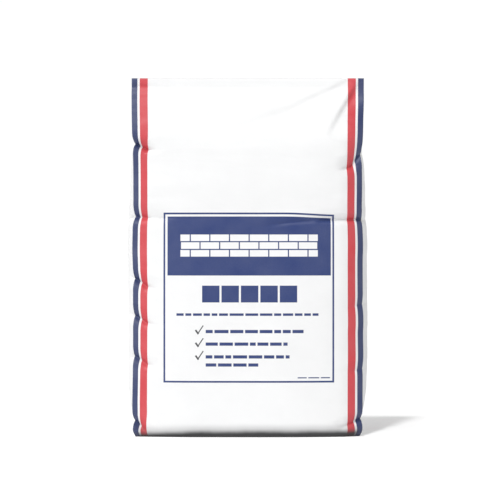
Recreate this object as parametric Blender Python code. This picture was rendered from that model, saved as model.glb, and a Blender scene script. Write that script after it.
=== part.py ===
"""A filled 25 kg cement bag, standing on its base.

Two pieces: the side-gusseted sack, a thin wall that is pinched shut along its mouth, and the cement inside it.
Metres, +Z up. The front panel faces -Y. The origin is the middle of the base, on the floor.
"""

import math

import bmesh
import bpy

# The sack, flat and empty
SACK_WIDTH = 0.3765  # between the two folds of the front panel
GUSSET_WIDTH = 0.100  # each side panel, creased down its middle
WALL = 0.0005  # two plies of paper and their liner

# The sack, filled and standing
HEIGHT = 0.577
MOUTH_BAND = 0.011  # the pressed band along the mouth
BAND_FOOT = HEIGHT - MOUTH_BAND
PINCH_HEIGHT = 0.030  # below the band, where the sack flattens out into it
MOUTH_LEAN = -0.022  # how far the mouth stands from the middle: forwards
LEAN_START = 0.420
FOLD = 0.0014  # width of the rounded fold at each corner
SLIT = 0.0004  # between the two halves of a gusset that is folded in
MOUTH_HALF_DEPTH = 0.0016  # four plies at the gussets
MOUTH_HALF_GAP = 0.00075  # two plies in the middle of the mouth
PLY_STEP = (0.003, 0.012)  # from a gusset's tip to where the mouth is four and two plies thick
CROWN_POWER = 3.0  # how square the front panel's bulge is
EDGE_DRAW = 0.0033  # how much the bulging panels draw their folds together
DRAW_END = 0.440  # below this height they are drawn in fully
RIGHT_TURN = 0.009  # how far back the front's right fold lies behind its left one
TURN_START = 0.78  # the share of the panel's half width at which it starts to turn back
TURN_END = (0.490, 0.525)  # heights between which this fades out towards the mouth

# The cement
FILL_HEIGHT = 0.468
FILL_CLEARANCE = 0.0015  # between the cement and the sack's sides
FILL_SEAT = 0.0003  # between the cement and the sack's floor

# Height and half depth at the corner folds, from the floor to the mouth
SIDE_PROFILE = (
    (0.000, 0.0385),
    (0.004, 0.0450),
    (0.010, 0.0478),
    (0.040, 0.0485),
    (0.300, 0.0480),
    (0.430, 0.0490),
    (0.475, 0.0470),
    (0.520, 0.0228),
    (0.550, 0.0069),
    (BAND_FOOT, MOUTH_HALF_DEPTH),
    (HEIGHT, MOUTH_HALF_DEPTH),
)
# Height and half depth in the middle of the front and back
CENTRE_PROFILE = (
    (0.000, 0.0340),
    (0.004, 0.0440),
    (0.010, 0.0515),
    (0.018, 0.0567),
    (0.032, 0.0602),
    (0.060, 0.0622),
    (0.160, 0.0660),
    (0.290, 0.0645),
    (0.352, 0.0605),
    (0.405, 0.0615),
    (0.455, 0.0550),
    (0.520, 0.0245),
    (0.550, 0.0085),
    (BAND_FOOT, MOUTH_HALF_GAP),
    (HEIGHT, MOUTH_HALF_GAP),
)
# Height, and how far the middle of a side panel stands out past the corner folds, or is folded in where it is negative
SIDE_BULGE = (
    (0.000, -0.0300),
    (0.020, -0.0100),
    (0.048, 0.0060),
    (0.090, 0.0110),
    (0.300, 0.0115),
    (0.420, 0.0080),
    (0.462, 0.0030),
    (0.488, -0.0180),
    (0.520, -0.0440),
    (0.552, -0.0490),
    (BAND_FOOT, -0.0495),
    (HEIGHT, -0.0495),
)
BOWED = (-0.010, 0.006)  # the bulges between which a side panel turns from a folded V to a round bow

# Sharp creases where the sack buckles across its corner folds: height, and how far the fold goes in
LEFT_CREASES = ((0.470, 0.0045), (0.353, 0.0045), (0.254, 0.0035), (0.194, 0.0035), (0.129, 0.0030), (0.024, 0.0040))
RIGHT_CREASES = ((0.448, 0.0050), (0.348, 0.0038), (0.212, 0.0015), (0.108, 0.0012), (0.027, 0.0040))
CREASE_REACH = 0.024  # how far above and below it a crease is felt
CREASE_SHARPNESS = 1.4
CREASE_START = 0.55  # the share of a panel's half width, from its middle, that a crease leaves alone
CREASE_DENT = 1.0  # how far a crease goes in from the front for each metre that it goes in from the side

# How finely the surface is divided
PANEL_STEPS = 10
GUSSET_STEPS = 3
LEVEL_STEP = 0.036
FINEST_STEP = 0.003
FOOT_LEVELS = (0.004, 0.010, 0.018, 0.034)
SHOULDER_LEVELS = (0.488, 0.497, 0.508, 0.520)
PINCH_LEVELS = (BAND_FOOT - 0.018, BAND_FOOT - 0.008, BAND_FOOT)


def smooth_step(value, low, high):
    share = min(1.0, max(0.0, (value - low) / (high - low)))
    return share * share * (3.0 - 2.0 * share)


def profile(points, height):
    """The value at a height, on a smooth curve through the points that never overshoots them."""
    upper = next((k for k, point in enumerate(points) if height < point[0]), len(points) - 1)
    lower = max(upper - 1, 0)
    slopes = [(b[1] - a[1]) / (b[0] - a[0]) for a, b in zip(points, points[1:])]
    tangents = []
    for k in (lower, lower + 1):
        before = slopes[max(k - 1, 0)]
        after = slopes[min(k, len(slopes) - 1)]
        tangents.append(2.0 * before * after / (before + after) if before * after > 0 else 0.0)
    low, high = points[lower], points[lower + 1]
    span = high[0] - low[0]
    t = (height - low[0]) / span
    return (
        (2 * t**3 - 3 * t**2 + 1) * low[1]
        + (t**3 - 2 * t**2 + t) * span * tangents[0]
        + (3 * t**2 - 2 * t**3) * high[1]
        + (t**3 - t**2) * span * tangents[1]
    )


def crease_depth(creases, height):
    """How far the creases draw a corner fold in at a height: a sharp notch at each."""
    return max(depth * max(0.0, 1.0 - abs(height - z) / CREASE_REACH) ** CREASE_SHARPNESS for z, depth in creases)


def mouth_lean(height):
    """How far the sack's middle stands in front of its foot's, which is negative, at a height."""
    return MOUTH_LEAN * smooth_step(height, LEAN_START, BAND_FOOT)


def section(height):
    """The sack's front, right side, back and left side at a height: lists of (x, y) points that run anticlockwise."""
    side = profile(SIDE_PROFILE, height)
    centre = profile(CENTRE_PROFILE, height)
    bulge = profile(SIDE_BULGE, height)
    lean = mouth_lean(height)
    drawn = EDGE_DRAW * (1.0 - smooth_step(height, DRAW_END, BAND_FOOT))
    turned_back = RIGHT_TURN * (1.0 - smooth_step(height, *TURN_END))
    pinched = smooth_step(height, BAND_FOOT - PINCH_HEIGHT, BAND_FOOT)
    left_crease = crease_depth(LEFT_CREASES, height)
    right_crease = crease_depth(RIGHT_CREASES, height)

    def panel(facing):
        """The front or back panel from left to right. It is crowned, and at the mouth it is pressed flat."""
        points = []
        for k in range(PANEL_STEPS + 1):
            across = math.sin(math.pi / 2 * (2.0 * k / PANEL_STEPS - 1.0))
            notch = (left_crease if across < 0 else right_crease) * smooth_step(abs(across), CREASE_START, 1.0)
            half = SACK_WIDTH / 2 - drawn - notch
            crowned = side + (centre - side) * (1.0 - abs(across) ** CROWN_POWER)
            to_tip = half - GUSSET_WIDTH / 2 - abs(across) * half
            pressed = side + (centre - side) * smooth_step(to_tip, *PLY_STEP)
            depth = crowned + (pressed - crowned) * pinched - CREASE_DENT * notch
            if facing < 0:
                depth -= turned_back * max(0.0, (across - TURN_START) / (1.0 - TURN_START)) ** 2
            points.append((across * half, lean + facing * depth))
        return points

    def gusset(start, end, outward):
        """A side panel from one corner fold to the other, bowed out or folded in at its middle crease."""
        tip = (start[0] + end[0]) / 2 + outward * bulge
        middle = (start[1] + end[1]) / 2
        bowed = smooth_step(bulge, *BOWED)
        first_half, second_half = [], []
        for half, near, slit in ((first_half, start, -outward * SLIT / 2), (second_half, end, outward * SLIT / 2)):
            for k in range(GUSSET_STEPS + 1):
                share = k / GUSSET_STEPS
                lift = share + (math.sin(math.pi / 2 * share) - share) * bowed
                half.append((near[0] + (tip - near[0]) * lift, near[1] + (middle + slit - near[1]) * share))
        return first_half + second_half[::-1]

    front = panel(-1.0)
    back = panel(1.0)[::-1]
    right_side = gusset((front[-1][0], front[-1][1] + FOLD), (back[0][0], back[0][1] - FOLD), 1.0)
    left_side = gusset((back[-1][0], back[-1][1] - FOLD), (front[0][0], front[0][1] + FOLD), -1.0)
    return front, right_side, back, left_side


def outline(height):
    return [point for run in section(height) for point in run]


def cut_outline(height):
    """The outline without its corners, where powder doesn't reach into the folds."""
    return [point for run in section(height) for point in run[1:-1]]


def inset(points, distance):
    """The closed outline through the points moved inwards by a distance, with mitred corners."""
    moved = []
    count = len(points)
    for i, (x, y) in enumerate(points):
        normals = []
        for (ax, ay), (bx, by) in ((points[i - 1], (x, y)), ((x, y), points[(i + 1) % count])):
            length = math.hypot(bx - ax, by - ay)
            normals.append(((ay - by) / length, (bx - ax) / length))
        (ux, uy), (vx, vy) = normals
        scale = distance / (1.0 + ux * vx + uy * vy)
        moved.append((x + (ux + vx) * scale, y + (uy + vy) * scale))
    return moved


def slant(height):
    """How much longer a level cut through the wall is than the wall is thick, where the wall leans."""
    low = max(0.0, height - WALL)
    high = min(HEIGHT, height + WALL)
    depth_change = abs(profile(CENTRE_PROFILE, high) - profile(CENTRE_PROFILE, low))
    lean_change = abs(mouth_lean(high) - mouth_lean(low))
    return math.hypot(1.0, (depth_change + lean_change) / (high - low))


def inner_outline(height):
    return inset(outline(height), WALL * slant(height))


def levels(low, high):
    """The heights of the surface's rows: evenly spaced, with more at the foot, at the creases and at the mouth."""
    creases = [z for z, _ in LEFT_CREASES + RIGHT_CREASES]
    kept = [low, high]
    beside = [z + offset for z in creases for offset in (-CREASE_REACH / 2, CREASE_REACH / 2)]
    count = round((high - low) / LEVEL_STEP)
    even = [low + (high - low) * k / count for k in range(1, count)]
    for z in (*PINCH_LEVELS, *creases, *FOOT_LEVELS, *SHOULDER_LEVELS, *beside, *even):
        if low < z < high and min(abs(z - other) for other in kept) >= FINEST_STEP:
            kept.append(z)
    return sorted(kept)


def ring(mesh, points, height):
    return [mesh.verts.new((x, y, height)) for x, y in points]


def join_rings(mesh, lower, upper):
    """A row of faces between two rings, facing out when the rings run anticlockwise."""
    for i in range(len(lower)):
        mesh.faces.new((lower[i - 1], lower[i], upper[i], upper[i - 1]))


def finish(name, mesh, colour, roughness):
    """Makes the piece from its mesh, with its own material."""
    bmesh.ops.triangulate(mesh, faces=mesh.faces[:])
    data = bpy.data.meshes.new(name)
    mesh.to_mesh(data)
    mesh.free()
    data.shade_smooth()
    data.set_sharp_from_angle(angle=math.radians(35))
    material = bpy.data.materials.new(name)
    material.use_nodes = True
    shader = material.node_tree.nodes["Principled BSDF"]
    shader.inputs["Base Color"].default_value = (*colour, 1.0)
    shader.inputs["Roughness"].default_value = roughness
    shader.inputs["Metallic"].default_value = 0.0
    data.materials.append(material)
    piece = bpy.data.objects.new(name, data)
    bpy.context.scene.collection.objects.link(piece)


def make_sack():
    """The sack as one thin wall: outside, flat base, and an inside that is open only along the pinched mouth."""
    mesh = bmesh.new()
    outside = [ring(mesh, outline(z), z) for z in levels(0.0, HEIGHT)]
    inside = [ring(mesh, inner_outline(z), z) for z in levels(WALL, HEIGHT)]
    for lower, upper in zip(outside, outside[1:]):
        join_rings(mesh, lower, upper)
    for lower, upper in zip(inside, inside[1:]):
        join_rings(mesh, upper, lower)
    join_rings(mesh, outside[-1], inside[-1])
    mesh.faces.new(outside[0][::-1])
    mesh.faces.new(inside[0])
    finish("sack", mesh, (0.93, 0.93, 0.92), 0.55)


def make_cement():
    """The cement: one solid that fills the sack up to the level where the sack narrows to its mouth."""
    mesh = bmesh.new()
    heights = levels(WALL + FILL_SEAT, FILL_HEIGHT)
    rows = [ring(mesh, inset(cut_outline(z), (WALL + FILL_CLEARANCE) * slant(z)), z) for z in heights]
    for lower, upper in zip(rows, rows[1:]):
        join_rings(mesh, lower, upper)
    mesh.faces.new(rows[0][::-1])
    mesh.faces.new(rows[-1])
    finish("cement", mesh, (0.42, 0.42, 0.40), 0.95)


def main():
    for old in list(bpy.data.objects):
        bpy.data.objects.remove(old)
    make_sack()
    make_cement()


main()
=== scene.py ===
import math
import random

import bmesh
import bpy
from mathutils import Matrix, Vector, noise


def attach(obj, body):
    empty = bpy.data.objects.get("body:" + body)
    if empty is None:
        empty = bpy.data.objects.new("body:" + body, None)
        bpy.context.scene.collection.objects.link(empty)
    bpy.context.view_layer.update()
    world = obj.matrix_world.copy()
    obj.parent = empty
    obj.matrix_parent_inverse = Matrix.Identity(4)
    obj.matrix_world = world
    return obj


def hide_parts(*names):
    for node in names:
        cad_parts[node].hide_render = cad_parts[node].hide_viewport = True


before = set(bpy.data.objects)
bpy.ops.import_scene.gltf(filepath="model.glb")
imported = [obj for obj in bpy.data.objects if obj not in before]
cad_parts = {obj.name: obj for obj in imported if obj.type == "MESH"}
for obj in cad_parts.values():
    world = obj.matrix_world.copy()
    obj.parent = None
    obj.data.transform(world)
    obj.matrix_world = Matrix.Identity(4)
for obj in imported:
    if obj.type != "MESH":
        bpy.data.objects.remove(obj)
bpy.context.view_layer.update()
print("frame loaded")


def smoothStep(value, low, high):
    share = min(1.0, max(0.0, (value - low) / (high - low)))
    return share * share * (3.0 - 2.0 * share)


def fadeOut(value, low, high):
    return 1.0 - smoothStep(value, low, high)


def curveThrough(points, at):
    # a smooth curve through (position, value) points that never overshoots them
    upper = next((k for k, point in enumerate(points) if at < point[0]), len(points) - 1)
    lower = max(upper - 1, 0)
    slopes = [(b[1] - a[1]) / (b[0] - a[0]) for a, b in zip(points, points[1:])]
    tangents = []
    for k in (lower, lower + 1):
        before, after = slopes[max(k - 1, 0)], slopes[min(k, len(slopes) - 1)]
        tangents.append(2.0 * before * after / (before + after) if before * after > 0 else 0.0)
    low, high = points[lower], points[lower + 1]
    span = high[0] - low[0]
    t = (at - low[0]) / span
    ends = (2 * t**3 - 3 * t**2 + 1) * low[1] + (3 * t**2 - 2 * t**3) * high[1]
    return ends + span * ((t**3 - 2 * t**2 + t) * tangents[0] + (t**3 - t**2) * tangents[1])


# The sack's form, in metres. The sheet is one tube: "across" is 0 in the middle of the front,
# and grows to the right round the side panel to the middle of the back. "up" is the height.

form = {
    "width": 0.3765,  # between the two folds of the front
    "gusset": 0.100,  # each side panel
    "height": 0.577,
    "crown": 3.0,  # how square the front's bulge is
    "fold": 0.0014,  # the rounded fold at each corner
    "foldOut": 0.2,  # how far it stands out, in its own widths
    "edgeDraw": 0.0033,  # how much the full sack draws its folds together
    "drawFrom": 0.440,  # above this height less and less
    "bowed": (-0.010, 0.006),  # where a side panel goes from folded in to bowed out
    "leftBulge": 0.88,  # the side panels aren't quite alike
    "rightBulge": 0.84,
    "band": 0.011,  # the pressed band along the mouth
    "bandRise": 0.0010,  # how much it is drawn up
    "bandRiseFrom": 0.010,  # below the band
    "pinch": 0.030,  # below the band, where the sack flattens out into it
    "plyStep": (0.003, 0.012),  # where the mouth goes from two plies to four
    "slit": 0.0004,  # between the halves of a side panel that is folded in
    "foldedIn": -0.0495,  # how far in the middle of such a panel lies
    "lean": -0.022,  # how far the mouth stands from the middle: forwards
    "leanFrom": 0.420,
    "tip": 0.0016,  # how far the band's upper edge tips back again
    "footRise": 0.0017,  # how much the roll of the foot lifts the sheet above it
    "footRoll": 0.022,  # the height of that roll
    "footDraw": 0.0045,  # how much the folds draw in at the floor
    "footRound": 0.012,  # the height up to which they do
    "rightTurn": 0.0098,  # how far back the front's right fold lies behind its left one
    "turnFrom": 0.78,  # the share of the half width at which it starts to turn back
    "turnEnd": (0.512, 0.540),  # heights between which this fades out towards the mouth
    "leftWrap": 0.090,  # how much narrower the paper looks where it turns towards the left fold
    "rightWrap": 0.030,
    "wrapWidth": 0.0265,
    "wrapCurve": 1.5,
    "wrapEnd": (0.024, 0.050),  # from the fold, where this fades out
    "wrapTop": (0.440, 0.500),  # and the heights where it does
    "footWrap": 0.8,  # how much stronger it is at the foot
    "footWrapEnd": (0.010, 0.040),
}
bandFoot = form["height"] - form["band"]
frontHalf = form["width"] / 2
flatHalf = frontHalf - form["fold"] / 2
gussetMiddle = frontHalf + form["gusset"] / 2
tubeHalf = form["width"] + form["gusset"]

# height, half depth at the corner folds
sideProfile = [
    (0.000, 0.0400), (0.0015, 0.0430), (0.004, 0.0455), (0.0065, 0.0468), (0.010, 0.0478),
    (0.020, 0.0484), (0.040, 0.0485), (0.300, 0.0480), (0.430, 0.0490), (0.475, 0.0470),
    (0.520, 0.0228), (0.550, 0.0069), (bandFoot, 0.0016), (form["height"], 0.0016),
]
# height, half depth in the middle of the front and back
centreProfile = [
    (0.000, 0.0540), (0.0012, 0.0552), (0.003, 0.0563), (0.0055, 0.0573), (0.009, 0.0581),
    (0.0125, 0.0587), (0.017, 0.0593), (0.024, 0.0600), (0.036, 0.0609), (0.060, 0.0622),
    (0.160, 0.0660), (0.290, 0.0645), (0.352, 0.0605), (0.405, 0.0615), (0.455, 0.0550),
    (0.520, 0.0245), (0.550, 0.0085), (bandFoot, 0.00075), (form["height"], 0.00075),
]
# height, how far a side's middle stands out past its folds, or is folded in
bulgeProfile = [
    (0.000, -0.0300), (0.020, -0.0100), (0.048, 0.0060), (0.090, 0.0110), (0.300, 0.0115),
    (0.420, 0.0080), (0.462, 0.0030), (0.488, -0.0180), (0.520, -0.0440), (0.552, -0.0490),
    (bandFoot, form["foldedIn"]), (form["height"], form["foldedIn"]),
]


def rowForm(up):
    # the section of the sack at one height
    bulge = curveThrough(bulgeProfile, up)
    drawn = form["edgeDraw"] * fadeOut(up, form["drawFrom"], bandFoot)
    atFoot = form["footDraw"] * max(0.0, 1.0 - up / form["footRound"]) ** 2
    overBand = max(0.0, up - bandFoot) / form["band"]
    wrapped = 1.0 + form["footWrap"] * fadeOut(up, *form["footWrapEnd"])
    return {
        "side": curveThrough(sideProfile, up),
        "centre": curveThrough(centreProfile, up),
        "bulge": bulge,
        "bowed": smoothStep(bulge, *form["bowed"]),
        "lean": form["lean"] * smoothStep(up, form["leanFrom"], bandFoot) + form["tip"] * overBand,
        "half": frontHalf - drawn - atFoot,
        "pinched": smoothStep(up, bandFoot - form["pinch"], bandFoot),
        "turned": form["rightTurn"] * fadeOut(up, *form["turnEnd"]),
        "wrapped": wrapped * fadeOut(up, *form["wrapTop"]),
    }


def standing(up):
    # how high a place of the sheet stands
    footRise = form["footRise"] * smoothStep(up, 0.0, form["footRoll"])
    bandRise = form["bandRise"] * smoothStep(up, bandFoot - form["bandRiseFrom"], form["height"])
    return up + footRise + bandRise


def panelOf(across):
    # whether a place is on the front half of the tube, and how far from that side's middle it lies
    front = abs(across) < gussetMiddle
    return front, abs(across) if front else tubeHalf - abs(across)


def flatPlace(fromMiddle, row, right, turned):
    # on the front or the back: (how far out, how deep)
    share = fromMiddle / flatHalf
    side, over = row["side"], row["centre"] - row["side"]
    crowned = side + over * (1.0 - share ** form["crown"])
    pastTip = row["half"] - form["gusset"] / 2 - share * row["half"]
    pressed = side + over * smoothStep(pastTip, *form["plyStep"])
    depth = crowned + (pressed - crowned) * row["pinched"]
    depth -= turned * max(0.0, (share - form["turnFrom"]) / (1.0 - form["turnFrom"])) ** 2
    fromFold = flatHalf - fromMiddle
    wrap = row["wrapped"] * form["rightWrap" if right else "leftWrap"] * form["wrapWidth"]
    wrap *= (fromFold / form["wrapWidth"]) ** form["wrapCurve"] * fadeOut(fromFold, *form["wrapEnd"])
    return share * row["half"] + wrap, depth


def foldPlace(fromMiddle, row, turned):
    # on the rounded corner fold
    share = (fromMiddle - frontHalf) / form["fold"] + 0.5
    out = form["foldOut"] * form["fold"] * math.sin(math.pi * share)
    return row["half"] + out, row["side"] - turned - min(form["fold"], row["side"] / 2) * share


def gussetPlace(fromMiddle, row, right, turned):
    # on a side panel, which bows out where the sack is full and is folded in at its ends
    share = (fromMiddle - frontHalf - form["fold"] / 2) / (form["gusset"] / 2 - form["fold"] / 2)
    lift = share + (math.sin(math.pi / 2 * share) - share) * row["bowed"]
    own = form["rightBulge" if right else "leftBulge"]
    bulge = row["bulge"] * (1.0 + (own - 1.0) * row["bowed"])
    edge = row["side"] - turned - min(form["fold"], row["side"] / 2)
    slit = min(form["slit"] / 2, row["side"] / 4)
    return row["half"] + bulge * lift, edge + (slit - edge) * share


def sackPoint(across, row):
    # where a point of the sheet goes on the smooth, uncreased sack: (x, y)
    right = across > 0
    front, fromMiddle = panelOf(across)
    turned = row["turned"] if right and front else 0.0
    if fromMiddle <= flatHalf:
        out, depth = flatPlace(fromMiddle, row, right, turned)
    elif fromMiddle < frontHalf + form["fold"] / 2:
        out, depth = foldPlace(fromMiddle, row, turned)
    else:
        out, depth = gussetPlace(fromMiddle, row, right, turned)
    return out if right else -out, row["lean"] + (-depth if front else depth)


crease = {
    "narrow": 0.0022,  # how wide the pressed line at the bottom of a crease is
    "narrowCurve": 1.3,  # how square that line is
    "pressed": 0.25,  # its share of the depth
    "upper": 1.25,  # how long the upper face of a crease is, in reaches
    "below": 0.55,  # how short its lower face is beside its upper one
    "felt": 1.3,  # past so many reaches nothing is left of it
    "deeper": 2.8,  # how much further a crease goes in from the front than from the side
    "sideLoss": 0.85,  # how much of that is lost round the corner
    "sideWidth": 0.040,  # and how far on
    "sideways": 0.045,  # how far from the fold the sheet is still drawn sideways
    "softEnd": 0.020,  # how far a soft fold of the front goes on round the corner
    "slantPress": 0.5,  # how far a slanting fold closes the sack before it pushes both sides back
}

# Creases, each a line on the sheet from one point to another: across, up, depth at each
# end, then how far to each side it is felt, and how sharp it is

creases = [
    (-0.188, 0.4705, 0.0044, -0.165, 0.4608, 0.0036, 0.013, 1.45),
    (-0.165, 0.4608, 0.0036, -0.143, 0.4583, 0.0004, 0.011, 1.45),
    (-0.188, 0.353, 0.0042, -0.138, 0.349, 0.0014, 0.018, 1.40),
    (-0.188, 0.254, 0.0042, -0.164, 0.2400, 0.0036, 0.017, 1.35),
    (-0.164, 0.2400, 0.0036, -0.138, 0.2340, 0.0003, 0.015, 1.35),
    (-0.188, 0.194, 0.0038, -0.164, 0.1815, 0.0032, 0.016, 1.35),
    (-0.164, 0.1815, 0.0032, -0.140, 0.1760, 0.0003, 0.014, 1.35),
    (-0.188, 0.129, 0.0034, -0.164, 0.1150, 0.0028, 0.015, 1.35),
    (-0.164, 0.1150, 0.0028, -0.140, 0.1080, 0.0003, 0.014, 1.35),
    (-0.188, 0.024, 0.0044, -0.160, 0.0060, 0.0024, 0.013, 1.35),
    (0.188, 0.4540, 0.0030, 0.180, 0.4450, 0.0034, 0.0180, 1.35),
    (0.180, 0.4450, 0.0034, 0.172, 0.4345, 0.0040, 0.0180, 1.35),
    (0.172, 0.4345, 0.0040, 0.160, 0.4300, 0.0030, 0.0170, 1.35),
    (0.160, 0.4300, 0.0030, 0.145, 0.4270, 0.0004, 0.0150, 1.35),
    (0.188, 0.348, 0.0014, 0.120, 0.347, 0.0014, 0.016, 1.60),
    (0.188, 0.212, 0.0018, 0.165, 0.205, 0.0005, 0.016, 1.40),
    (0.188, 0.108, 0.0014, 0.165, 0.100, 0.0005, 0.016, 1.40),
    (0.188, 0.0265, 0.0040, 0.150, 0.0130, 0.0016, 0.013, 1.35),
]
# the same buckles carried on round the fold, across the side panels
sideCreases = [
    (-0.189, 0.469, 0.0050, -0.239, 0.464, 0.0010, 0.015, 1.5),
    (-0.189, 0.353, 0.0046, -0.239, 0.348, 0.0014, 0.018, 1.5),
    (-0.189, 0.253, 0.0036, -0.232, 0.259, 0.0006, 0.018, 1.5),
    (-0.189, 0.193, 0.0034, -0.230, 0.197, 0.0006, 0.018, 1.5),
    (-0.189, 0.128, 0.0030, -0.228, 0.122, 0.0006, 0.016, 1.5),
    (-0.189, 0.024, 0.0042, -0.220, 0.029, 0.0008, 0.014, 1.5),
    (0.189, 0.453, 0.0032, 0.239, 0.455, 0.0012, 0.020, 1.4),
    (0.189, 0.347, 0.0014, 0.239, 0.350, 0.0016, 0.016, 1.7),
    (0.189, 0.212, 0.0016, 0.225, 0.216, 0.0003, 0.018, 1.4),
    (0.189, 0.108, 0.0012, 0.225, 0.104, 0.0003, 0.018, 1.4),
    (0.189, 0.0265, 0.0038, 0.220, 0.030, 0.0008, 0.013, 1.5),
]
# soft folds of the front alone: along the highest crease of the left fold, and the main
# crease above the label, which comes in from both folds
softFolds = [
    (-0.188, 0.4705, 0.0036, -0.164, 0.4604, 0.0024, 0.0090, 1.5),
    (-0.140, 0.350, 0.0012, 0.020, 0.350, 0.0006, 0.020, 1.3),
    (0.188, 0.348, 0.0088, 0.150, 0.3475, 0.0064, 0.0090, 1.4),
    (0.150, 0.3475, 0.0060, 0.110, 0.3465, 0.0036, 0.0090, 1.4),
    (0.110, 0.3465, 0.0040, 0.065, 0.3425, 0.0026, 0.010, 1.4),
    (0.065, 0.3425, 0.0026, 0.010, 0.3355, 0.0006, 0.010, 1.4),
]
# folds pressed aslant into the front, each a line that steps in on its lower side: across, up,
# depth at each end, then how wide the step is and how far the paper takes to come out again
slantFolds = [
    (0.1796, 0.5740, 0.0016, 0.1735, 0.5620, 0.0040, 0.0070, 0.060),
    (0.1735, 0.5620, 0.0040, 0.1630, 0.5450, 0.0074, 0.0070, 0.060),
    (0.1630, 0.5450, 0.0074, 0.1464, 0.5160, 0.0056, 0.0066, 0.050),
    (0.1464, 0.5160, 0.0056, 0.1320, 0.4880, 0.0018, 0.0066, 0.040),
    (0.1600, 0.5740, 0.0020, 0.1407, 0.5644, 0.0022, 0.0065, 0.022),
    (0.1407, 0.5644, 0.0022, 0.1180, 0.5546, 0.0026, 0.0065, 0.022),
    (0.1180, 0.5546, 0.0026, 0.0920, 0.5425, 0.0022, 0.0065, 0.022),
    (0.0920, 0.5425, 0.0022, 0.0690, 0.5303, 0.0018, 0.0070, 0.022),
    (0.0690, 0.5303, 0.0018, -0.0120, 0.5030, 0.0004, 0.0090, 0.024),
    (-0.1380, 0.5655, 0.0002, -0.1600, 0.5665, 0.0016, 0.0045, 0.014),
    (-0.1600, 0.5665, 0.0016, -0.1900, 0.5668, 0.0022, 0.0045, 0.014),
]
# small sideways strays of the corner folds: height, how far in
leftSway = [
    (0.00, 0.0), (0.05, -0.0009), (0.10, 0.0), (0.16, 0.0004), (0.21, 0.0003), (0.27, 0.0),
    (0.30, -0.0009), (0.33, -0.0004), (0.385, 0.0009), (0.43, 0.0007), (0.50, 0.0), (form["height"], 0.0),
]
rightSway = [
    (0.00, 0.0), (0.05, -0.0003), (0.08, -0.0003), (0.10, -0.0006), (0.13, -0.0015), (0.165, -0.0010),
    (0.18, -0.0016), (0.212, -0.0010), (0.245, -0.0006), (0.28, -0.0005), (0.305, -0.0010),
    (0.37, 0.0010), (0.40, 0.0006), (0.448, 0.0008), (0.50, 0.0002), (0.53, 0.0), (0.562, 0.0),
    (0.570, -0.0010), (form["height"], -0.0008),
]


def creaseDepths(across, up, lines):
    # how deep the creases are at a place: (as an even kink, with a longer upper face)
    even, uneven = 0.0, 0.0
    for fromX, fromY, fromDepth, toX, toY, toDepth, reach, sharp in lines:
        alongX, alongY = toX - fromX, toY - fromY
        share = ((across - fromX) * alongX + (up - fromY) * alongY) / (alongX**2 + alongY**2)
        share = min(1.0, max(0.0, share))
        offset = up - fromY - share * alongY
        apart = math.hypot(across - fromX - share * alongX, offset)
        if apart > crease["felt"] * reach:
            continue
        depth = fromDepth + (toDepth - fromDepth) * smoothStep(share, 0.0, 1.0)
        pressed = crease["pressed"] * math.exp(-((apart / crease["narrow"]) ** crease["narrowCurve"]))
        face = crease["upper"] * (1.0 if offset > 0 else crease["below"])
        wide = [max(0.0, 1.0 - apart / (reach * size)) ** sharp for size in (1.0, face)]
        depths = [depth * (part * (1.0 - crease["pressed"]) + pressed) for part in wide]
        even, uneven = max(even, depths[0]), max(uneven, depths[1])
    return even, uneven


def slantDepth(across, up):
    # how deep the slanting folds are at a place of the front
    deepest = 0.0
    for fromX, fromY, fromDepth, toX, toY, toDepth, step, gentle in slantFolds:
        alongX, alongY = toX - fromX, toY - fromY
        length = math.hypot(alongX, alongY)
        share = ((across - fromX) * alongX + (up - fromY) * alongY) / length**2
        # how far the place lies past the line, on its lower side
        past = ((across - fromX) * -alongY + (up - fromY) * alongX) / length
        beyond = max(0.0, -share, share - 1.0) * length
        if beyond > step:
            continue
        depth = fromDepth + (toDepth - fromDepth) * min(1.0, max(0.0, share))
        depth *= fadeOut(beyond, 0.0, step)
        depth *= smoothStep(past, -step / 2, step / 2) * fadeOut(past, step / 2, gentle)
        deepest = max(deepest, depth)
    return deepest


def slantMove(across, up, y, row):
    # the slanting folds press the front, and the side panel folded in behind it, together towards the
    # middle; where the plies already lie close, near the mouth, they push all of them back
    front, onPanel = panelOf(across)
    # the place on the front that this one lies behind
    over = math.copysign(min(onPanel, 2 * frontHalf - onPanel, flatHalf), across)
    pressed = slantDepth(over, up)
    if pressed == 0.0:
        return 0.0
    held = 1.0 if onPanel < frontHalf else 1.0 - row["bowed"]
    outer = row["lean"] - sackPoint(over, row)[1]
    share = min(crease["slantPress"], pressed / outer)
    pushed = pressed - share * outer
    return held * (pushed - (share * (y - row["lean"]) if front else 0.0))


def creaseMove(across, up):
    # how far a point of the sheet is drawn in by the creases: (x, y)
    front, onPanel = panelOf(across)
    fromFold = onPanel - frontHalf
    kink, dent = creaseDepths(math.copysign(onPanel, across), up, creases if fromFold < 0 else sideCreases)
    turn, sway = (1.0, rightSway) if across > 0 else (-1.0, leftSway)
    drawn = (kink + curveThrough(sway, up)) * smoothStep(fromFold, -crease["sideways"], 0.0)
    dent *= crease["deeper"] * (1.0 - crease["sideLoss"] * smoothStep(fromFold, 0.0, crease["sideWidth"]))
    if front:
        soft = creaseDepths(math.copysign(min(onPanel, frontHalf), across), up, softFolds)[1]
        dent += soft * fadeOut(fromFold, 0.0, crease["softEnd"])
    return -turn * drawn, dent if front else -dent


# The paper sack, wrapped from one flat grid

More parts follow.
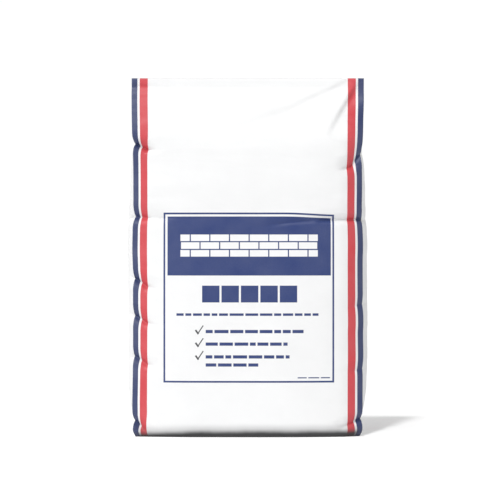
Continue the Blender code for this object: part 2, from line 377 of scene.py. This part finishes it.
sack = {
    "panelColumns": 48,  # from the middle of the front to its fold
    "foldColumns": 2,
    "gussetColumns": 13,  # each half of a side panel
    "besideMiddle": 0.0016,  # from a side panel's middle fold to the column beside it
    "rows": 190,
    "bandRows": 4,
    "edgeRow": 0.0006,  # between the last two rows
    "underBand": (4, 0.0012),  # close rows under the band, and the distance between them
    "footRows": (0.0011, 0.0022),
    "creaseRows": 5,  # close rows on each side of the start of a crease
    "closeRows": 0.0014,  # between them
    "leastGap": 0.0009,  # rows closer than this are left out
    "baseRows": 8,
    "foldedUnder": 0.0425,  # how much of the sheet lies under the sack
    "baseRise": 0.0010,  # how high the tucked in side panels lie over the floor
    "riseWidth": 0.010,  # over which they get there, from their folds
    "baseSink": 0.4,  # the share of it that they lose again towards the middle
    "sinkEnd": 0.6,  # where they have lost it, as a share of the way there
    "plyGap": 0.0002,  # sideways, so that plies that lie on each other stay apart
    "gapFrom": 0.8,  # where that starts in the base, as a share of the way to its middle
    "calmFoot": 0.012,  # creases and waves start above the foot and end below the band
    "calmBand": 0.020,
    "seamAt": 0.400,  # the glued lap down the back
    "seamWidth": 0.026,
    "seamThick": 0.0005,
    "seamSlope": 0.4,  # the share of its width over which it rises
    "seamFoot": 0.010,  # the height at which it has its full thickness
    "seamColumns": 0.0003,  # between the three columns at its edge
    "middleFold": 0.0011,  # how deep the fold down the middle of each side panel still shows
    "middleWidth": 0.003,
    "buckle": 0.0011,  # fine unevenness of the paper
    "ripples": (11.0, 42.0, 3.7),  # to the metre, across the sheet and up it, and which ones
    "dents": (10.0, 8.0, 9.1),
    "dentShare": 0.9,
    "rippleLoss": 0.7,  # how much weaker the ripples are away from the folds
    "rippleEnd": 0.09,  # and how far from them
    "joinWidth": 0.08,  # where the sheet's two edges meet, and have to match
    "ownWaves": 0.012,  # from the fold, where a bowed side panel has waves of its own
    "merge": 1.5e-5,  # points closer than this become one
}


def columnPlaces(count):
    # from the middle of the back, round the front, to the middle of the back again
    even = [k / count["panelColumns"] for k in range(1, count["panelColumns"] + 1)]
    # closer together towards the fold
    panel = [(0.5 * math.sin(math.pi / 2 * x) + 0.5 * x) * flatHalf for x in even]
    corner = [flatHalf + form["fold"] * k / count["foldColumns"] for k in range(1, count["foldColumns"])]
    start, wide = frontHalf + form["fold"] / 2, (form["gusset"] - form["fold"]) / 2
    side = [start + wide * k / count["gussetColumns"] for k in range(count["gussetColumns"])]
    quarter = panel + corner + side + [gussetMiddle - sack["besideMiddle"]]
    middle = [gussetMiddle - 1e-5, gussetMiddle + 1e-5]  # the two sides of the middle fold
    half = quarter + middle + [tubeHalf - x for x in reversed(quarter)]
    return [-tubeHalf] + [-x for x in reversed(half)] + [0.0] + half + [tubeHalf]


def rowPlaces():
    # from the middle of the base up to the mouth, closer together where something bends
    base = [-sack["foldedUnder"] * (1 - k / sack["baseRows"]) for k in range(sack["baseRows"])]
    band = [bandFoot + form["band"] * k / sack["bandRows"] for k in range(sack["bandRows"])]
    band += [form["height"] - sack["edgeRow"], form["height"]]
    near = range(-sack["creaseRows"], sack["creaseRows"] + 1)
    wanted = [line[1] + sack["closeRows"] * k for line in creases for k in near]
    wanted += [bandFoot - sack["underBand"][1] * (k + 1) for k in range(sack["underBand"][0])]
    wanted += [bandFoot * k / sack["rows"] for k in range(sack["rows"])]
    wanted += sack["footRows"]
    body = [0.0]
    for up in sorted(wanted):
        if min(up - body[-1], bandFoot - up) > sack["leastGap"]:
            body.append(up)
    return base + body + band


def flatSheet(columns, rows):
    # a flat grid whose vertices remember their row and their place on the sheet
    mesh = bmesh.new()
    bmesh.ops.create_grid(mesh, x_segments=len(columns) - 1, y_segments=len(rows) - 1, size=1.0)
    layers = {
        "across": mesh.verts.layers.float.new("acrossSheet"),
        "up": mesh.verts.layers.float.new("upSheet"),
        "row": mesh.verts.layers.int.new("rowNumber"),
    }
    for v in mesh.verts:
        column = round((v.co.x + 1) / 2 * (len(columns) - 1))
        row = round((v.co.y + 1) / 2 * (len(rows) - 1))
        v.co = (columns[column], rows[row], 0.0)
        v[layers["across"]], v[layers["up"]], v[layers["row"]] = v.co.x, v.co.y, row
    sheetMap = mesh.loops.layers.uv.new("sheet")  # metres on the flat sheet, which the print follows
    for face in mesh.faces:
        for loop in face.loops:
            loop[sheetMap].uv = loop.vert.co.xy
    return mesh, layers


def bakeMap(mesh):
    # a second map, laid out flat in one square, for baking
    sheetMap, flat = mesh.loops.layers.uv["sheet"], mesh.loops.layers.uv.new("OFBake")
    loops = [loop for face in mesh.faces for loop in face.loops]
    low = min(loop[sheetMap].uv.y for loop in loops)
    high = max(loop[sheetMap].uv.y for loop in loops)
    margin, wide, tall = 0.01, 0.98, 0.92
    for loop in loops:
        across, up = loop[sheetMap].uv
        place = (across + tubeHalf) / (2 * tubeHalf), (up - low) / (high - low)
        loop[flat].uv = (margin + wide * place[0], margin + tall * place[1])


def threeOctaves(x, y, z):
    return noise.fractal(Vector((x, y, z)), 1.0, 2.0, 3)


def pieceFrom(mesh, name, merge):
    # closes the wrapped sheet, turns its faces outwards and makes it a piece
    bmesh.ops.remove_doubles(mesh, verts=mesh.verts, dist=merge)
    bmesh.ops.delete(mesh, geom=[e for e in mesh.edges if e.is_wire], context="EDGES")
    if mesh.calc_volume(signed=True) < 0:
        bmesh.ops.reverse_faces(mesh, faces=mesh.faces)
    print(name, "made:", len(mesh.faces), "faces,", sum(e.is_boundary for e in mesh.edges), "open edges")
    bakeMap(mesh)
    data = bpy.data.meshes.new(name)
    mesh.to_mesh(data)
    mesh.free()
    data.shade_smooth()
    piece = bpy.data.objects.new(name, data)
    bpy.context.scene.collection.objects.link(piece)
    return piece


def paperWave(across, up):
    # low, long waves that run across the sheet, stronger towards its folds, and broad dents
    near = 1.0 - sack["rippleLoss"] * smoothStep(abs(abs(across) - frontHalf), 0.0, sack["rippleEnd"])
    join = 0.5 * smoothStep(abs(across), tubeHalf - sack["joinWidth"], tubeHalf)
    total = 0.0
    rippleX, rippleY, whichRipples = sack["ripples"]
    dentX, dentY, whichDents = sack["dents"]
    for at, share in ((across, 1.0 - join), (across - math.copysign(2 * tubeHalf, across), join)):
        ripple = threeOctaves(at * rippleX, up * rippleY, whichRipples)
        dent = noise.noise(Vector((at * dentX, up * dentY, whichDents)))
        total += share * (near * ripple + sack["dentShare"] * dent)
    return sack["buckle"] * total


def basePoint(across, share, row, tucked, aside):
    # a point of the base, share of the way to its middle: the front and back fold under and
    # meet, with the side panels tucked in between them
    row = dict(row, side=row["side"] * (1 - share), centre=row["centre"] * (1 - share), turned=0.0)
    row["bulge"] += (form["foldedIn"] - row["bulge"]) * share
    x, y = sackPoint(across, row)
    height = sack["baseRise"] * tucked * (1.0 - sack["baseSink"] * smoothStep(share, 0.0, sack["sinkEnd"]))
    return x - aside * smoothStep(share, sack["gapFrom"], 1.0), y, height


def roughen(v, across, up, row, free):
    # the waves of the paper, the fold down the middle of each side panel and the lap down the back;
    # a folded in side panel takes up the waves of the panel that it lies against
    front, onPanel = panelOf(across)
    own = row["bowed"] * smoothStep(onPanel, frontHalf, frontHalf + sack["ownWaves"])
    against = min(onPanel, 2 * frontHalf - onPanel)
    wave = paperWave(math.copysign(against if front else tubeHalf - against, across), up) * free
    v.co.y += (1.0 - own) * (wave if front else -wave)
    if own > 0:
        fromMiddle = (abs(across) - gussetMiddle) / sack["middleWidth"]
        ridge = sack["middleFold"] * math.exp(-(fromMiddle**2))
        v.co.x -= own * math.copysign(paperWave(across, up) * free + ridge, across)
    lap, wide = across - sack["seamAt"], sack["seamWidth"]
    if 0 > lap > -wide and up < bandFoot:
        rise = smoothStep(lap, -wide, (sack["seamSlope"] - 1.0) * wide)
        v.co.y += sack["seamThick"] * rise * smoothStep(up, 0.0, sack["seamFoot"])


def makeSack():
    # three columns at the lap's edge, and at the three places that mirror it
    lapEdges = (sack["seamAt"], tubeHalf - sack["seamAt"])
    beside = [at + sack["seamColumns"] * k for at in lapEdges for k in (-1, 0, 1)]
    columns = sorted(columnPlaces(sack) + beside + [-at for at in beside])
    rows = rowPlaces()
    mesh, layers = flatSheet(columns, rows)
    forms = [rowForm(max(up, 0.0)) for up in rows]
    for v in mesh.verts:
        across, up, row = v[layers["across"]], v[layers["up"]], forms[v[layers["row"]]]
        onPanel = panelOf(across)[1]
        tucked = smoothStep(onPanel, frontHalf, frontHalf + sack["riseWidth"])
        aside = math.copysign(sack["plyGap"], across) if onPanel > frontHalf + form["fold"] / 4 else 0.0
        if up < 0:
            v.co = basePoint(across, min(1.0, -up / sack["foldedUnder"]), row, tucked, aside)
            continue
        free = smoothStep(up, 0.0, sack["calmFoot"]) * smoothStep(bandFoot - up, 0.0, sack["calmBand"])
        x, y = sackPoint(across, row)
        moveX, moveY = creaseMove(across, up)
        y += slantMove(across, up, y, row)
        lifted = sack["baseRise"] * tucked * fadeOut(up, 0.0, sack["calmFoot"])
        v.co = (x + moveX * free, y + moveY * free, standing(up) + lifted)
        roughen(v, across, up, row, free)
        if v[layers["row"]] == len(rows) - 1:
            # the mouth is pressed shut along its edge
            v.co.y = row["lean"] + slantMove(across, up, row["lean"], row)
            v.co.x -= aside
    return pieceFrom(mesh, "paperSack", sack["merge"])


# The cement, which fills the sack up to a low mound

cement = {
    "clear": 0.0040,  # how far it stays inside the sack's sides
    "halfDepth": 0.045,  # where the sack has this, the cement keeps just as clear of its front and back
    "dented": 1.2,  # how much further than the sack it goes in at the creases
    "lowest": 0.0030,
    "top": 0.452,
    "mound": 0.009,  # how much higher it lies along its middle
    "grain": 0.0012,  # how uneven its top is
    "grainScale": 40.0,
    "panelColumns": 22,
    "foldColumns": 2,
    "gussetColumns": 6,
    "rows": 90,
    "capRows": 10,
    "capDraw": 0.22,  # how much the ends of its top and base are drawn in
    "merge": 4e-5,
}


def makeCement():
    # one sheet wrapped like the sack, a little inside it, whose ends are drawn in until they close
    columns = columnPlaces(cement)
    height = cement["top"] - cement["lowest"]
    body = [cement["lowest"] + height * k / cement["rows"] for k in range(cement["rows"] + 1)]
    caps = [k / cement["capRows"] for k in range(1, cement["capRows"] + 1)]
    rows = [-share for share in reversed(caps)] + body + [1.0 + share for share in caps]
    mesh, layers = flatSheet(columns, rows)
    for v in mesh.verts:
        across, place = v[layers["across"]], v[layers["up"]]
        closing = max(0.0, -place, place - 1.0)
        up = cement["lowest"] if place < 0 else min(place, cement["top"])
        row = rowForm(up)
        x, y = sackPoint(across, row)
        moveX, moveY = creaseMove(across, up)
        x = (x + cement["dented"] * moveX) * (1.0 - cement["clear"] / frontHalf)
        x *= 1.0 - cement["capDraw"] * closing
        deep = (y + cement["dented"] * moveY - row["lean"]) * (1.0 - cement["clear"] / cement["halfDepth"])
        y, z = row["lean"] + deep * (1.0 - closing), standing(up)
        if place > 1.0:
            fine = cement["grainScale"]
            z += cement["mound"] * math.sin(math.pi / 2 * closing) * (1.0 - (x / frontHalf) ** 2)
            z += cement["grain"] * threeOctaves(x * fine, y * fine, up * fine)
        v.co = (x, y, z)
    return pieceFrom(mesh, "cementFill", cement["merge"])


# Materials


def plug(tree, socket, value):
    # links a socket to another one, or sets its number or colour
    if isinstance(value, bpy.types.NodeSocket):
        tree.links.new(value, socket)
    else:
        socket.default_value = value


def plugAll(tree, node, sources):
    # sources maps an input's name or number to a value or a socket
    for name, value in sources.items():
        plug(tree, node.inputs[name], value)


def add(tree, kind, sources=None, **settings):
    node = tree.nodes.new(kind)
    for name, value in settings.items():
        setattr(node, name, value)
    plugAll(tree, node, sources or {})
    return node


def calc(tree, operation, *values, clamp=False):
    node = add(tree, "ShaderNodeMath", dict(enumerate(values)), operation=operation, use_clamp=clamp)
    return node.outputs[0]


def rescale(tree, value, low, high, toLow=0.0, toHigh=1.0, smooth=False):
    # what lies from low to high is spread from toLow to toHigh, and the rest is held at those two
    return add(tree, "ShaderNodeMapRange", {
        "Value": value, "From Min": low, "From Max": high, "To Min": toLow, "To Max": toHigh,
    }, interpolation_type="SMOOTHSTEP" if smooth else "LINEAR").outputs[0]


def noiseOn(tree, place, scale, detail, distortion=0.0):
    # scale is one number, or three where the noise is stretched
    if isinstance(scale, tuple):
        place, scale = add(tree, "ShaderNodeMapping", {"Vector": place, "Scale": scale}).outputs[0], 1.0
    return add(tree, "ShaderNodeTexNoise", {
        "Vector": place, "Scale": scale, "Detail": detail, "Distortion": distortion,
    }).outputs["Fac"]


def coarseAndFine(tree, coarse, fine):
    # mostly a coarse noise, with some of a fine one
    return calc(tree, "ADD", calc(tree, "MULTIPLY", coarse, 0.6), calc(tree, "MULTIPLY", fine, 0.4))


def blendColour(tree, share, first, second):
    mix = add(tree, "ShaderNodeMix", data_type="RGBA")
    sockets = {socket.identifier: socket for socket in (*mix.inputs, *mix.outputs)}
    for name, value in (("Factor_Float", share), ("A_Color", first), ("B_Color", second)):
        plug(tree, sockets[name], value)
    return sockets["Result_Color"]


def freshMaterial(name):
    material = bpy.data.materials.new(name)
    material.use_nodes = True
    return material, material.node_tree, material.node_tree.nodes["Principled BSDF"]


powder = {
    "dark": (0.200, 0.197, 0.188, 1.0),
    "light": (0.330, 0.325, 0.312, 1.0),
    "cloudScale": 14.0,
    "grainScale": 900.0,
    "bump": 0.0006,
}


def cementMaterial():
    material, tree, shader = freshMaterial("cementPowder")
    place = add(tree, "ShaderNodeTexCoord").outputs["Object"]
    grain = noiseOn(tree, place, powder["grainScale"], 3.0)
    mixed = coarseAndFine(tree, noiseOn(tree, place, powder["cloudScale"], 5.0), grain)
    bump = add(tree, "ShaderNodeBump", {"Height": grain, "Strength": 0.5, "Distance": powder["bump"]})
    plugAll(tree, shader, {
        "Base Color": blendColour(tree, mixed, powder["dark"], powder["light"]),
        "Normal": bump.outputs[0],
        "Roughness": 0.95,
        "Specular IOR Level": 0.2,
    })
    return material


paper = {
    "colour": (0.701, 0.703, 0.706, 1.0),
    "fibreColour": (0.680, 0.682, 0.685, 1.0),
    "mottle": (0.35, 0.65),  # the part of the noise that goes from the one to the other
    "cloudScale": 22.0,
    "fibreScale": (420.0, 900.0, 1.0),
    "fibreBump": 0.00006,
    "cockleScale": (55.0, 95.0, 1.0),
    "cockleBump": 0.00050,
    "roughness": 0.56,
    "inkRoughness": 0.40,
    "fibreRoughness": 0.06,  # how much rougher its fibres are
}
inks = {
    "blue": (0.016, 0.034, 0.135, 1.0),
    "grey": (0.045, 0.045, 0.050, 1.0),
    "stripeBlue": (0.025, 0.037, 0.108, 1.0),
    "red": (0.492, 0.045, 0.057, 1.0),
    "edge": 0.0004,  # softness of a printed edge
    "thin": 0.10,  # how much paper shows through thin ink
    "thinShare": 0.35,  # how thin the ink gets in its clouds, 1 being as thin as that
    "rubbedWidth": (0.0002, 0.0014),  # from a fold, where the ink is rubbed
    "rubbedFibres": (0.50, 0.62),  # the fibres that stand up enough to be rubbed
    "rubbed": 0.35,  # how much of their ink they have lost
}
stripes = {"stripeBlue": (0.0, 0.0098), "red": (0.0135, 0.0265)}  # from the corner fold inwards

# boxes are left, right, bottom, top
label = {
    "frame": (-0.1373, 0.1404, 0.0864, 0.3591),
    "line": 0.0029,
    "pulled": 0.0034,  # how far the upper right corner is pulled down
    "pulledAcross": (0.060, 0.150),  # where that starts, and where it is complete
    "pulledUp": (0.325, 0.357),
    "header": (-0.1308, 0.1350, 0.2581, 0.3528),
    "bricks": (-0.1096, 0.1137, 0.2875, 0.3248),
    "brickCount": (7, 3),
    "mortar": 0.0011,
    "blocks": (-0.0760, 0.0817, 0.2150, 0.2420),
    "blockCount": 5,
    "blockMargin": 0.0016,
    "dashRows": (  # left, right, middle, height
        (-0.1161, 0.1187, 0.1956, 0.0040), (-0.0685, 0.0907, 0.1685, 0.0052),
        (-0.0685, 0.0645, 0.1484, 0.0052), (-0.0685, 0.0677, 0.1279, 0.0052),
        (-0.0685, 0.0235, 0.1149, 0.0052), (0.0809, 0.1367, 0.0942, 0.0018),
    ),
    "dashSeed": 4,
    "dash": (0.008, 0.024),
    "dashLeast": 0.004,
    "dashGap": 0.0028,
    "ticks": (0.1654, 0.1450, 0.1245),  # the height of each one's lowest point
    "tickStrokes": (  # from and to, across and above that point, then the width
        (-0.0842, 0.0044, -0.0811, 0.0, 0.0028), (-0.0811, 0.0, -0.0730, 0.0120, 0.0018),
    ),
}
# painted contact shade along the lower edge, darkening the paper towards the floor where shade falls under
# the sack
paintedFootShade = {
    "colour": (0.024, 0.024, 0.025, 1.0),
    # two layers of painted shade: a broad one, and a darker one nearer the floor
    "broadShade": (0.0090, 0.0225, 0.35),  # height it fades from and to, strength
    "deepShade": (0.0045, 0.0130, 0.63),
    "uneven": 0.004,
    "left": (-0.170, -0.080, 0.0034),  # how much lower it stays towards the left fold
    "folds": (0.174, 0.186, 0.65),  # how much of it is missing right at the folds
}


def boxGroup():
    # a printed box: 1 inside it, 0 outside, with the ink's slightly soft edge
    group = bpy.data.node_groups.new("printedBox", "ShaderNodeTree")
    for name in ("across", "up", "centreAcross", "centreUp", "halfWidth", "halfHeight", "softness"):
        group.interface.new_socket(name, in_out="INPUT", socket_type="NodeSocketFloat")
    group.interface.new_socket("ink", in_out="OUTPUT", socket_type="NodeSocketFloat")
    start, end = group.nodes.new("NodeGroupInput"), group.nodes.new("NodeGroupOutput")
    past = []
    for place, centre, half in (("across", "centreAcross", "halfWidth"), ("up", "centreUp", "halfHeight")):
        offset = calc(group, "SUBTRACT", start.outputs[place], start.outputs[centre])
        past.append(calc(group, "SUBTRACT", calc(group, "ABSOLUTE", offset), start.outputs[half]))
    outside = calc(group, "DIVIDE", calc(group, "MAXIMUM", *past), start.outputs["softness"])
    group.links.new(calc(group, "SUBTRACT", 0.5, outside, clamp=True), end.inputs[0])
    return group


def inked(sheet, left, right, bottom, top, across=None, up=None):
    # a printed box on the sheet, or on coordinates of its own
    return add(sheet["tree"], "ShaderNodeGroup", {
        "across": across or sheet["across"], "up": up or sheet["up"],
        "centreAcross": (left + right) / 2, "centreUp": (bottom + top) / 2,
        "halfWidth": (right - left) / 2, "halfHeight": (top - bottom) / 2, "softness": inks["edge"],
    }, node_tree=sheet["box"]).outputs[0]


def stroke(sheet, fromX, fromY, toX, toY, wide):
    # a printed line from one point to another
    tree, across, up = sheet["tree"], sheet["across"], sheet["up"]
    long = math.hypot(toX - fromX, toY - fromY)
    c, s = (toX - fromX) / long, (toY - fromY) / long
    along = calc(tree, "MULTIPLY_ADD", across, c, calc(tree, "MULTIPLY_ADD", up, s, -fromX * c - fromY * s))
    aside = calc(tree, "MULTIPLY_ADD", across, -s, calc(tree, "MULTIPLY_ADD", up, c, fromX * s - fromY * c))
    return inked(sheet, -wide / 2, long + wide / 2, -wide / 2, wide / 2, along, aside)


def either(tree, masks):
    total = masks[0]
    for mask in masks[1:]:
        total = calc(tree, "MAXIMUM", total, mask)
    return total


def without(tree, mask, other):
    return calc(tree, "MULTIPLY", mask, calc(tree, "SUBTRACT", 1.0, other))


def frameAndHeader(sheet):
    # the label's frame line, and its header with bare bricks in it; the main crease has pulled the
    # upper right corner of both down
    tree, across, up = sheet["tree"], sheet["across"], sheet["up"]
    corner = calc(tree, "MULTIPLY", rescale(tree, across, *label["pulledAcross"], smooth=True),
                  rescale(tree, up, *label["pulledUp"], smooth=True))
    upPulled = calc(tree, "ADD", up, calc(tree, "MULTIPLY", corner, label["pulled"]))
    left, right, bottom, top = label["frame"]
    line = label["line"]
    outer = inked(sheet, left, right, bottom, top, up=upPulled)
    inner = inked(sheet, left + line, right - line, bottom + line, top - line, up=upPulled)

    left, right, bottom, top = label["bricks"]
    fromCorner = {0: calc(tree, "SUBTRACT", across, left), 1: calc(tree, "SUBTRACT", up, bottom)}
    wall = add(tree, "ShaderNodeTexBrick", {
        "Vector": add(tree, "ShaderNodeCombineXYZ", fromCorner).outputs[0], "Scale": 1.0,
        "Color1": (1, 1, 1, 1), "Color2": (1, 1, 1, 1), "Mortar": (0, 0, 0, 1),
        "Mortar Size": label["mortar"], "Mortar Smooth": 0.2,
        "Brick Width": (right - left) / label["brickCount"][0],
        "Row Height": (top - bottom) / label["brickCount"][1],
    }, offset=0.5, squash=1.0)
    bricks = calc(tree, "MULTIPLY", inked(sheet, *label["bricks"]), wall.outputs["Color"])
    header = inked(sheet, *label["header"], up=upPulled)
    return [without(tree, outer, inner), without(tree, header, bricks)]


def blocksAndDashes(sheet):
    # a row of blocks under the header, and dashes of chance lengths in rows
    left, right, bottom, top = label["blocks"]
    pitch, margin = (right - left) / label["blockCount"], label["blockMargin"]
    marks = []
    for k in range(label["blockCount"]):
        marks.append(inked(sheet, left + k * pitch + margin, left + (k + 1) * pitch - margin, bottom, top))
    random.seed(label["dashSeed"])
    for at, end, middle, tall in label["dashRows"]:
        while at < end - label["dashLeast"]:
            wide = min(random.uniform(*label["dash"]), end - at)
            marks.append(inked(sheet, at, at + wide, middle - tall / 2, middle + tall / 2))
            at += wide + label["dashGap"]
    return marks


def tickMarks(sheet):
    return [stroke(sheet, fromX, lowest + fromY, toX, lowest + toY, wide)
            for lowest in label["ticks"] for fromX, fromY, toX, toY, wide in label["tickStrokes"]]


def fading(tree, value, low, high, strength):
    return rescale(tree, value, low, high, strength, 0.0, smooth=True)


def paintedFootShadeMask(sheet, cloud, away):
    # the mask of the painted contact shade: darker towards the floor, lower towards the left fold, weaker
    # right at the folds
    tree = sheet["tree"]
    uneven = calc(tree, "MULTIPLY", calc(tree, "SUBTRACT", cloud, 0.5), paintedFootShade["uneven"])
    byLeftFold = fading(tree, sheet["across"], *paintedFootShade["left"])
    overFloor = calc(tree, "ADD", calc(tree, "ADD", sheet["up"], uneven), byLeftFold)
    broadShade, deepShade = fading(tree, overFloor, *paintedFootShade["broadShade"]), fading(tree, overFloor, *paintedFootShade["deepShade"])
    overFront = calc(tree, "ADD", 1.0 - paintedFootShade["folds"][2], fading(tree, away, *paintedFootShade["folds"]))
    return calc(tree, "MULTIPLY", calc(tree, "ADD", broadShade, deepShade), overFront)


def sackMaterial():
    material, tree, shader = freshMaterial("printedPaper")
    flat = add(tree, "ShaderNodeUVMap", uv_map="sheet").outputs["UV"]
    split = add(tree, "ShaderNodeSeparateXYZ", {0: flat})
    sheet = {"tree": tree, "across": split.outputs[0], "up": split.outputs[1], "box": boxGroup()}
    away = calc(tree, "ABSOLUTE", sheet["across"])
    overSide = calc(tree, "ABSOLUTE", calc(tree, "SUBTRACT", away, gussetMiddle))
    fromFold = calc(tree, "SUBTRACT", overSide, form["gusset"] / 2)
    masks = {ink: inked(sheet, *places, -1, 1, fromFold) for ink, places in stripes.items()}
    masks["blue"] = either(tree, frameAndHeader(sheet) + blocksAndDashes(sheet))
    masks["grey"] = either(tree, tickMarks(sheet))

    # the paper: faint clouds of fibre, and ink that is a little uneven and rubbed along the folds
    cloud = noiseOn(tree, flat, paper["cloudScale"], 4.0)
    fibre = noiseOn(tree, flat, paper["fibreScale"], 4.0)
    mottle = rescale(tree, coarseAndFine(tree, cloud, fibre), *paper["mottle"])
    colour = blendColour(tree, mottle, paper["colour"], paper["fibreColour"])
    nearFold = rescale(tree, calc(tree, "ABSOLUTE", fromFold), *inks["rubbedWidth"], 1.0, 0.0)
    raised = rescale(tree, fibre, *inks["rubbedFibres"], 0.0, inks["rubbed"])
    rubbed = calc(tree, "MULTIPLY", nearFold, raised)
    thinShare = calc(tree, "MULTIPLY", mottle, inks["thinShare"])
    for ink, mask in masks.items():
        bareAndFull = zip(paper["colour"], inks[ink])
        thin = [inks["thin"] * bare + (1 - inks["thin"]) * full for bare, full in bareAndFull]
        inkColour = blendColour(tree, thinShare, inks[ink], thin)
        colour = blendColour(tree, without(tree, mask, rubbed), colour, inkColour)

    glossy = either(tree, [masks["stripeBlue"], masks["red"], masks["blue"]])
    rough = rescale(tree, glossy, 0.0, 1.0, paper["roughness"], paper["inkRoughness"])
    fine = add(tree, "ShaderNodeBump", {"Height": fibre, "Strength": 0.25, "Distance": paper["fibreBump"]})
    cockle = noiseOn(tree, flat, paper["cockleScale"], 3.0, distortion=0.4)
    bump = add(tree, "ShaderNodeBump", {
        "Height": cockle, "Strength": 0.30, "Distance": paper["cockleBump"], "Normal": fine.outputs[0]})
    # the base colour carries painted contact shade along the lower edge
    plugAll(tree, shader, {
        "Base Color": blendColour(tree, paintedFootShadeMask(sheet, cloud, away), colour, paintedFootShade["colour"]),
        "Roughness": calc(tree, "ADD", rough, calc(tree, "MULTIPLY", fibre, paper["fibreRoughness"])),
        "Specular IOR Level": 0.35,
        "Normal": bump.outputs[0],
    })
    return material


# Stage

stage = {
    "radius": 12.0,
    "tint": (0.99, 0.99, 0.99, 1.0),
    "horizon": 1.02,  # brightness of the studio round the floor, and overhead
    "overhead": 0.44,
    "between": (0.16, 0.55),  # where it goes from one to the other: 0 is level, 1 is straight up
}


def makeStage():
    mesh = bmesh.new()
    bmesh.ops.create_circle(mesh, cap_ends=True, cap_tris=True, segments=96, radius=stage["radius"])
    bmesh.ops.recalc_face_normals(mesh, faces=mesh.faces)
    for face in mesh.faces:
        if face.normal.z < 0:
            face.normal_flip()
    data = bpy.data.meshes.new("floor")
    mesh.to_mesh(data)
    mesh.free()
    floor = bpy.data.objects.new("floor", data)
    bpy.context.scene.collection.objects.link(floor)
    material, tree, shader = freshMaterial("paleFloor")
    plugAll(tree, shader, {"Base Color": stage["tint"], "Roughness": 0.9, "Specular IOR Level": 0.0})
    data.materials.append(material)


photo = {
    "size": (481, 500),
    "scale": 0.001606,  # metres for each pixel at the front of the bag
    "middle": 247.85,  # pixel column of the bag's middle
    "floorLine": 437.25,  # pixel row of the front's lower edge
    "distance": 3.0,  # from the camera to the front of the bag
    "front": -0.055,  # where that front stands
}


def makeCamera():
    data = bpy.data.cameras.new("camera")
    data.lens = data.sensor_width * photo["distance"] / (max(photo["size"]) * photo["scale"])
    data.clip_end = 5 * stage["radius"]
    camera = bpy.data.objects.new("camera", data)
    camera.location = (
        -(photo["middle"] - photo["size"][0] / 2) * photo["scale"],
        photo["front"] - photo["distance"],
        (photo["floorLine"] - photo["size"][1] / 2) * photo["scale"],
    )
    camera.rotation_euler = (math.pi / 2, 0, 0)
    bpy.context.scene.collection.objects.link(camera)
    bpy.context.scene.camera = camera


# the direction to each light, its strength, how many degrees wide it is, and whether it casts a shadow
lights = {
    "key": ((-0.175, -0.503, 0.846), 1.36, 4.5, True),
    "softbox": ((-0.66, -0.58, 0.48), 1.44, 60, False),
}


def makeLights():
    for name, (toLight, strength, spread, shadow) in lights.items():
        lamp = bpy.data.lights.new(name, "SUN")
        lamp.energy = strength
        lamp.angle = math.radians(spread)
        lamp.use_shadow = shadow
        lamp.cycles.cast_shadow = shadow
        holder = bpy.data.objects.new(name, lamp)
        holder.location = Vector(toLight) * photo["distance"]
        holder.rotation_euler = Vector(toLight).to_track_quat("Z", "Y").to_euler()
        bpy.context.scene.collection.objects.link(holder)
    world = bpy.data.worlds.new("studio")
    world.use_nodes = True
    tree = world.node_tree
    direction = add(tree, "ShaderNodeTexCoord").outputs["Generated"]
    upwards = add(tree, "ShaderNodeSeparateXYZ", {0: direction}).outputs[2]
    glow = rescale(tree, upwards, *stage["between"], stage["horizon"], stage["overhead"], smooth=True)
    plugAll(tree, tree.nodes["Background"], {"Color": (1, 1, 1, 1), "Strength": glow})
    bpy.context.scene.world = world
    bpy.context.scene.view_settings.view_transform = "Standard"


paperSack = makeSack()
paperSack.data.materials.append(sackMaterial())
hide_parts("sack")
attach(paperSack, "root")

cementFill = makeCement()
cementFill.data.materials.append(cementMaterial())
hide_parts("cement")
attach(cementFill, "root")

makeStage()
makeCamera()
makeLights()
print("stage, camera and lights made")
